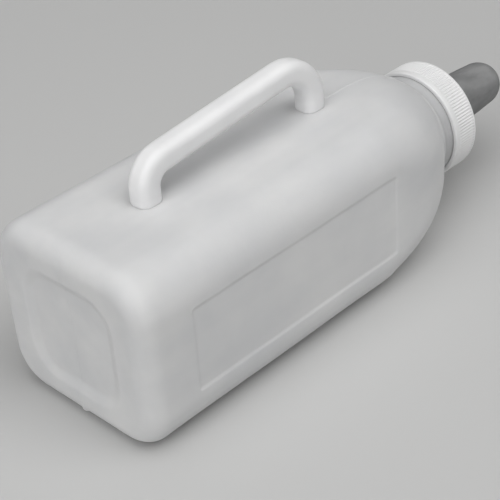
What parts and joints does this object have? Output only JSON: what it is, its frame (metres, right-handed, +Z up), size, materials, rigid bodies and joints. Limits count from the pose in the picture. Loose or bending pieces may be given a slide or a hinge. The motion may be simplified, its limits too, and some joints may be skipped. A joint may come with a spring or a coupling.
{
  "type": "calf feeding bottle",
  "caption": "Rounded-square translucent bottle with a moulded carrying handle, a ribbed screw collar and a tapered rubber teat for feeding calves.",
  "frame": {"origin": "centre of the bounding box's bottom: the bottle lies on its back wall, the one opposite the handle", "axes": "+X along the bottle's axis from its base to the tip of the teat, +Y across its width, +Z up to the handle"},
  "size_m": [0.3723, 0.12, 0.1466],
  "materials": {
    "bottle_plastic": "translucent natural polyethylene, satin",
    "handle_plastic": "opaque white polyethylene, satin",
    "cap_plastic": "opaque white, satin, finely ribbed",
    "teat_rubber": "matt grey rubber"
  },
  "bodies": {
    "bottle": {"bottle_body": "bottle_plastic", "carry_handle": "handle_plastic"},
    "teat": {"teat": "teat_rubber"},
    "screw_cap": {"screw_cap": "cap_plastic"}
  },
  "joints": [
    {"name": "teat_lift", "type": "slide", "parent": "bottle", "child": "teat", "axis": [1, 0, 0], "range_m": [0, 0.024]},
    {"name": "cap_turn", "type": "hinge", "parent": "teat", "child": "screw_cap", "pos_m": [0.11035, 0, 0.0545], "axis": [1, 0, 0], "range_deg": [0, 1440]}
  ],
  "couplings": [
    {"joint": "teat_lift", "follows": "cap_turn", "m_per_rad": 0.00095493}
  ]
}
